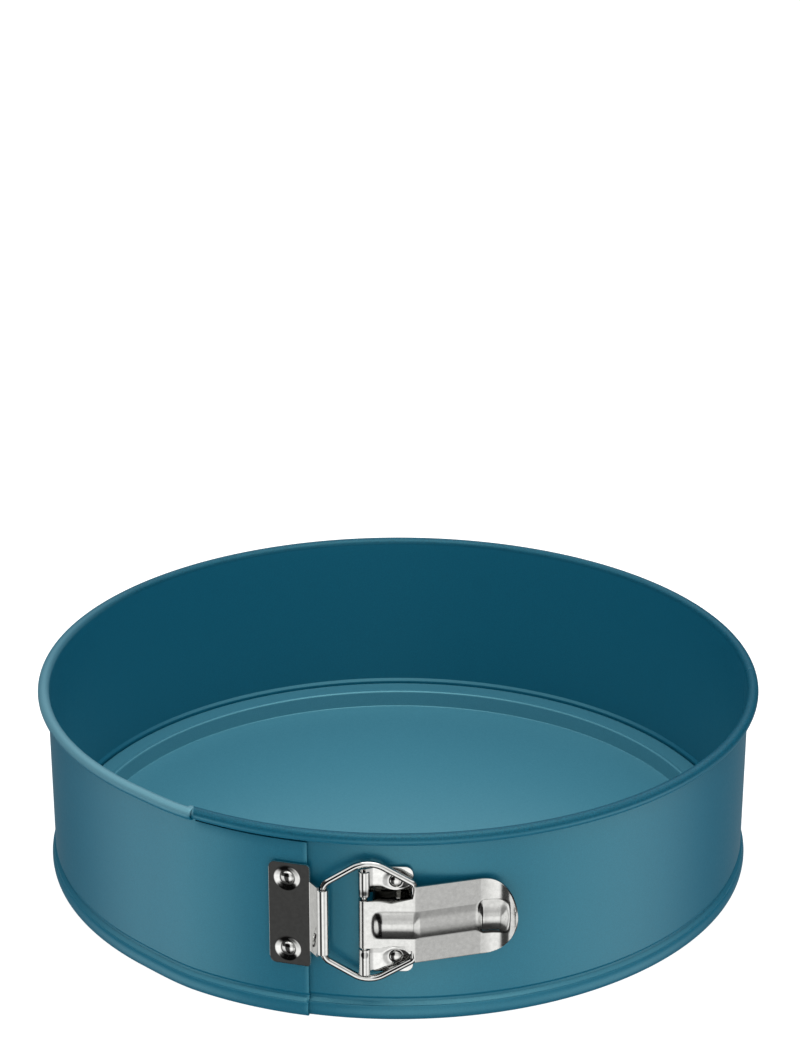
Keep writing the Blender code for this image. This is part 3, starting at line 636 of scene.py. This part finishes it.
def make_bail(hinge, look):
    """A closed wire loop: one side turns in the catch's barrel and the lever draws the other."""
    radius = OUTER_RADIUS + BAIL_LEVEL
    start = Vector((radius * math.sin(BAIL_ANGLE), -radius * math.cos(BAIL_ANGLE), LATCH_HEIGHT))
    far = hinge @ Vector((PIN_X + BAIL_REACH, -(PIN_LEVEL + BAIL_DROP), 0.0))
    apex = hinge @ Vector((BAIL_APEX_X, 0.0, 0.0))
    along = far - start
    reach = along.length
    apex_x = (apex - start).dot(along.normalized())
    half = [(0.0, BAIL_CORNER_HALF, BAIL_CORNER_BEND), (apex_x, BAIL_APEX_HALF, BAIL_APEX_BEND),
            (reach, BAIL_SIDE_HALF, BAIL_SIDE_BEND)]
    line = rounded_line(half + [(x, -z, r) for x, z, r in reversed(half)], steps=10, closed=True)
    line = divided(line + line[:1], 0.0009)[:-1]
    sides = 24
    bm = bmesh.new()
    rings = []
    for n, here in enumerate(line):
        ahead = Vector(line[(n + 1) % len(line)]) - Vector(line[n - 1])
        across = Vector((ahead.y, -ahead.x)).normalized()
        ring = []
        for k in range(sides):
            a = 2.0 * math.pi * k / sides
            out = across * (WIRE_RADIUS * math.cos(a))
            ring.append(bm.verts.new((here[0] + out.x, WIRE_RADIUS * math.sin(a), here[1] + out.y)))
        rings.append(ring)
    for ring, after in zip(rings, rings[1:] + rings[:1]):
        for k in range(sides):
            m = (k + 1) % sides
            bm.faces.new((ring[k], ring[m], after[m], after[k]))
    turn = Matrix.Rotation(math.atan2(along.y, along.x), 4, "Z")
    bail = finished("bail_wire", bm, Matrix.Translation(start) @ turn)
    bail.data.materials.append(look)
    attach(bail, "bail")
    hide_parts("bail")


def make_rivets(catch, hinge, look):
    """Two domed rivets in each bracket's dishes, with a flat head inside the band."""
    seat = PLATE_RISE + PLATE_SHEET - DISH_DEPTH
    tail = -SHEET - RIVET_TAIL_GAP
    dome = [(RIVET_HEAD * math.sin(math.radians(a)), seat + RIVET_DOME * math.cos(math.radians(a)))
            for a in range(0, 86, 5)]
    points = dome + [
        (RIVET_HEAD, seat),
        (RIVET_SHANK, seat - 0.0001),
        (RIVET_SHANK, tail),
        (RIVET_HEAD, tail),
        (RIVET_HEAD, tail - RIVET_TAIL),
        (0.0, tail - RIVET_TAIL),
    ]
    outward = Matrix.Rotation(math.radians(90.0), 4, "X")
    for bracket, x, height, frame, body in (
        ("catch", CATCH_RIVET_X, CATCH_RIVET_Z, catch, "band_left"),
        ("hinge", HINGE_RIVET_X, HINGE_RIVET_Z, hinge, "band_right"),
    ):
        for end, side in (("upper", 1.0), ("lower", -1.0)):
            place = frame @ Matrix.Translation((x, 0.0, side * height)) @ outward
            rivet = lathe(f"{bracket}_rivet_{end}_head", points, place)
            rivet.data.materials.append(look)
            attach(rivet, body)
            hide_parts(f"{bracket}_rivet_{end}")


# ---------------------------------------------------------------- materials
def shader_tree(name):
    """A new material, its node tree and its shader."""
    mat = bpy.data.materials.new(name)
    mat.use_nodes = True
    return mat, mat.node_tree, mat.node_tree.nodes["Principled BSDF"]


def noise(tree, scale, detail=2.0):
    """A noise texture in the object's own metres."""
    where = tree.nodes.new("ShaderNodeTexCoord")
    texture = tree.nodes.new("ShaderNodeTexNoise")
    texture.inputs["Scale"].default_value = scale
    texture.inputs["Detail"].default_value = detail
    tree.links.new(where.outputs["Object"], texture.inputs["Vector"])
    return texture.outputs["Fac"]


def spread(tree, value, low, high, start=0.3, end=0.7):
    """Map a value between start and end, by default a noise texture's, to low to high."""
    node = tree.nodes.new("ShaderNodeMapRange")
    node.inputs["From Min"].default_value = start
    node.inputs["From Max"].default_value = end
    node.inputs["To Min"].default_value = low
    node.inputs["To Max"].default_value = high
    tree.links.new(value, node.inputs["Value"])
    return node.outputs["Result"]


def blend_colours(tree, factor, first, second):
    """A mix of two colours, each of them plain numbers or another node's output."""
    node = tree.nodes.new("ShaderNodeMix")
    node.data_type = "RGBA"
    for name, colour in (("A", first), ("B", second)):
        if isinstance(colour, tuple):
            node.inputs[name].default_value = (*colour, 1.0)
        else:
            tree.links.new(colour, node.inputs[name])
    tree.links.new(factor, node.inputs["Factor"])
    return node.outputs["Result"]


def bump(tree, shader, height, strength):
    """Raise the surface a little where the height is high."""
    node = tree.nodes.new("ShaderNodeBump")
    node.inputs["Distance"].default_value = BUMP_DEPTH
    node.inputs["Strength"].default_value = strength
    tree.links.new(height, node.inputs["Height"])
    tree.links.new(node.outputs["Normal"], shader.inputs["Normal"])


def rim_masks(tree):
    """Masks of the rim's matt part with grain, which also gets painted shade, and of its smooth part,
    which gets a painted highlight: the front of the left end's.
    """
    where = tree.nodes.new("ShaderNodeTexCoord")
    split = tree.nodes.new("ShaderNodeSeparateXYZ")
    tree.links.new(where.outputs["Object"], split.inputs["Vector"])
    x, y, z = split.outputs
    joint = -(WALL_RADIUS + RIM_CURL) * math.sin(-LAP_START)
    high = spread(tree, z, 0.0, 1.0, WALL_TOP - 0.0004, WALL_TOP + 0.0008)
    right = spread(tree, x, 0.0, 1.0, joint - 0.0002, joint + 0.0002)
    back = spread(tree, y, 0.0, 1.0, -0.03, 0.08)
    dull_and_shaded = node_math(tree, "MULTIPLY", high, node_math(tree, "MAXIMUM", right, back))
    return dull_and_shaded, node_math(tree, "SUBTRACT", high, dull_and_shaded)


def coating(name, dark, light, worked_rim_and_painted_light=False):
    """A non-stick coating with fine metallic flake; on a worked rim it has grain and low gloss, with
    painted shade there, and a painted highlight on the left end's front.
    """
    mat, tree, shader = shader_tree(name)
    flake = noise(tree, 2600.0, 1.0)
    colour = blend_colours(tree, spread(tree, flake, 0.0, 1.0), dark, light)
    if worked_rim_and_painted_light:
        dull_and_shaded, smooth = rim_masks(tree)
        # the rim's dull part has a real grain, and its colours are darkened as painted shade
        dark_rim = tuple(RIM_PAINTED_SHADE[0] * c for c in dark)
        light_rim = tuple(RIM_PAINTED_SHADE[1] * c for c in light)
        grain = noise(tree, 2200.0, 2.0)
        grain_and_shade = blend_colours(tree, spread(tree, grain, 0.0, 1.0), dark_rim, light_rim)
        # the dull part gets the grain with its painted shade, and the smooth part gets the painted
        # highlight
        for mask, there in ((dull_and_shaded, grain_and_shade), (smooth, RIM_PAINTED_HIGHLIGHT)):
            colour = blend_colours(tree, mask, colour, there)
    tree.links.new(colour, shader.inputs["Base Color"])
    tree.links.new(spread(tree, noise(tree, 900.0), 0.33, 0.38), shader.inputs["Roughness"])
    bump(tree, shader, noise(tree, 1500.0, 3.0), 0.2)
    shader.inputs["Specular IOR Level"].default_value = 1.0
    if worked_rim_and_painted_light:
        tree.links.new(spread(tree, dull_and_shaded, 1.0, RIM_GLOSS, 0.0, 1.0), shader.inputs["Specular IOR Level"])
    shader.inputs["Specular Tint"].default_value = (*COATING_TINT, 1.0)
    return mat


def plated(name, colour, roughness, grain):
    """Nickel plate over stamped steel, with a fine grain."""
    mat, tree, shader = shader_tree(name)
    dark = tuple(c * 0.86 for c in colour)
    tree.links.new(blend_colours(tree, spread(tree, noise(tree, 700.0, 4.0), 0.0, 1.0), dark, colour),
                   shader.inputs["Base Color"])
    tree.links.new(spread(tree, noise(tree, 1100.0, 3.0), roughness * 0.8, roughness * 1.3),
                   shader.inputs["Roughness"])
    bump(tree, shader, noise(tree, 1800.0, 3.0), grain)
    shader.inputs["Metallic"].default_value = 1.0
    return mat


# ---------------------------------------------------------------- studio
def node_math(tree, operation, *values):
    """A sum on values that are plain numbers or other nodes' outputs."""
    node = tree.nodes.new("ShaderNodeMath")
    node.operation = operation
    for socket, value in zip(node.inputs, values):
        if isinstance(value, (int, float)):
            socket.default_value = value
        else:
            tree.links.new(value, socket)
    return node.outputs["Value"]


def ramp(tree, value, stops):
    """Brightness by a value from 0 to 1, smooth between the (place, brightness) stops."""
    node = tree.nodes.new("ShaderNodeValToRGB")
    node.color_ramp.interpolation = "EASE"
    elements = node.color_ramp.elements
    elements[0].position, elements[1].position = stops[0][0], stops[-1][0]
    elements[0].color = (*(stops[0][1],) * 3, 1.0)
    elements[1].color = (*(stops[-1][1],) * 3, 1.0)
    for place, brightness in stops[1:-1]:
        element = elements.new(place)
        element.color = (*(brightness,) * 3, 1.0)
    tree.links.new(value, node.inputs["Fac"])
    return node.outputs["Color"]


def make_world():
    """Soft white light all round, with dark cards between the soft boxes that gloss shows."""
    world = bpy.data.worlds.new("studio")
    bpy.context.scene.world = world
    world.use_nodes = True
    tree = world.node_tree
    where = tree.nodes.new("ShaderNodeTexCoord")
    split = tree.nodes.new("ShaderNodeSeparateXYZ")
    tree.links.new(where.outputs["Generated"], split.inputs["Vector"])
    x, y, z = split.outputs
    azimuth = node_math(tree, "ARCTAN2", x, node_math(tree, "MULTIPLY", y, -1.0))
    turn = node_math(tree, "MULTIPLY_ADD", azimuth, 0.5 / math.pi, 0.5)

    def at(degrees):
        """The ramp's place for a direction, from -Y towards +X."""
        return 0.5 + degrees / 360.0

    def level(value):
        """The ramp's place for the height of a direction, from -1 to 1."""
        return 0.5 + value / 2

    around = ramp(tree, turn, [
        (at(-180), 0.19), (at(-140), 0.05), (at(-122), 0.10), (at(-104), 0.40), (at(-88), 0.74),
        (at(-58), 0.84), (at(-49), 0.05), (at(-21), 0.05), (at(-8), 1.0), (at(12), 0.95), (at(28), 0.54),
        (at(38), 0.54), (at(52), 0.85), (at(78), 0.84), (at(97), 0.50), (at(110), 0.18), (at(124), 0.05),
        (at(180), 0.19),
    ])
    upright = node_math(tree, "MULTIPLY_ADD", z, 0.5, 0.5)
    height = ramp(tree, upright, [
        (level(-1.0), 0.05), (level(-0.82), 0.08), (level(-0.66), 0.7), (level(-0.52), 1.0),
        (level(0.0), 1.0), (level(0.2), 0.8), (level(0.36), 0.9), (level(0.6), 0.85), (level(1.0), 0.42),
    ])
    # a dark card round the horizon, faint straight in front of the latch and to its right
    card_height = ramp(tree, upright, [
        (level(-1.0), 0.0), (level(-0.28), 0.0), (level(-0.16), 1.0), (level(0.40), 1.0),
        (level(0.56), 0.0), (level(1.0), 0.0),
    ])
    card_around = ramp(tree, turn, [
        (at(-180), 0.6), (at(-100), 0.95), (at(-12), 0.95), (at(-5), 0.3), (at(20), 0.25), (at(60), 0.8),
        (at(110), 0.95), (at(180), 0.6),
    ])
    # the boxes' sides fade out overhead, where the light is the same all round
    side = node_math(tree, "MULTIPLY", height, around)
    lifted = spread(tree, z, 0.0, 1.0, 0.42, 0.70)
    mix = tree.nodes.new("ShaderNodeMix")
    tree.links.new(lifted, mix.inputs["Factor"])
    tree.links.new(side, mix.inputs["A"])
    tree.links.new(height, mix.inputs["B"])
    card = node_math(tree, "MULTIPLY", card_height, card_around)
    open_part = node_math(tree, "SUBTRACT", 1.0, card)
    boxes = node_math(tree, "MULTIPLY", mix.outputs["Result"], open_part)
    light_path = tree.nodes.new("ShaderNodeLightPath")
    chosen = tree.nodes.new("ShaderNodeMix")
    tree.links.new(light_path.outputs["Is Glossy Ray"], chosen.inputs["Factor"])
    chosen.inputs["A"].default_value = 1.0
    tree.links.new(node_math(tree, "MULTIPLY", boxes, GLOSS_LIGHT), chosen.inputs["B"])
    background = tree.nodes["Background"]
    tree.links.new(chosen.outputs["Result"], background.inputs["Color"])
    background.inputs["Strength"].default_value = DIFFUSE_LIGHT


def make_studio():
    """The world, a white floor that gloss doesn't show, and a soft lamp overhead."""
    make_world()
    floor_mesh = bpy.data.meshes.new("floor")
    corners = [(-1.0, -1.0), (1.0, -1.0), (1.0, 1.0), (-1.0, 1.0)]
    points = [(FLOOR_REACH * x, FLOOR_REACH * y, 0.0) for x, y in corners]
    floor_mesh.from_pydata(points, [], [(0, 1, 2, 3)])
    floor = bpy.data.objects.new("floor", floor_mesh)
    bpy.context.scene.collection.objects.link(floor)
    mat, _, shader = shader_tree("pale_floor")
    shader.inputs["Base Color"].default_value = (0.4, 0.4, 0.4, 1.0)
    shader.inputs["Emission Color"].default_value = (1.0, 1.0, 1.0, 1.0)
    shader.inputs["Emission Strength"].default_value = 0.85
    shader.inputs["Roughness"].default_value = 0.9
    shader.inputs["Specular IOR Level"].default_value = 0.0
    floor_mesh.materials.append(mat)
    floor.visible_glossy = False
    light = bpy.data.lights.new("overhead_softbox", "AREA")
    light.shape = "DISK"
    light.size = LAMP_SIZE
    light.energy = LAMP_WATTS
    lamp = bpy.data.objects.new("overhead_softbox", light)
    bpy.context.scene.collection.objects.link(lamp)
    lamp.location = LAMP_PLACE
    lamp.rotation_euler = (-lamp.location).to_track_quat("-Z", "Y").to_euler()
    bpy.context.scene.view_settings.view_transform = "Standard"


def make_camera():
    """A long lens that looks down on the pan from the front."""
    camera = bpy.data.cameras.new("camera")
    camera.lens = CAMERA_LENS
    camera.sensor_width = 36.0
    camera.sensor_fit = "HORIZONTAL"
    obj = bpy.data.objects.new("camera", camera)
    bpy.context.scene.collection.objects.link(obj)
    obj.location = (
        0.0, -CAMERA_DISTANCE * math.cos(CAMERA_PITCH), HEIGHT + CAMERA_DISTANCE * math.sin(CAMERA_PITCH)
    )
    down = math.pi / 2 - CAMERA_PITCH + CAMERA_TILT
    obj.rotation_euler = (down, 0.0, -CAMERA_YAW)
    bpy.context.scene.camera = obj


def main():
    for obj in list(bpy.data.objects):
        bpy.data.objects.remove(obj, do_unlink=True)
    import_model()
    make_camera()
    make_studio()

    band = coating("coated_band", *TEAL_BAND, worked_rim_and_painted_light=True)
    base = coating("coated_base", *TEAL_BASE_PAINTED_LIGHT)
    bright = plated("plated_steel", PLATED_STEEL, 0.05, 0.06)
    satin = plated("satin_lever", SATIN_STEEL, 0.15, 0.22)

    catch = frame_on_band(CATCH_ANGLE, OUTER_RADIUS + LAP_OFFSET)
    hinge = frame_on_band(HINGE_ANGLE, OUTER_RADIUS)
    make_band(band)
    make_base(base)
    make_catch(catch, bright)
    make_hinge(hinge, bright)
    make_lever(hinge, satin)
    make_bail(hinge, bright)
    make_rivets(catch, hinge, bright)


main()
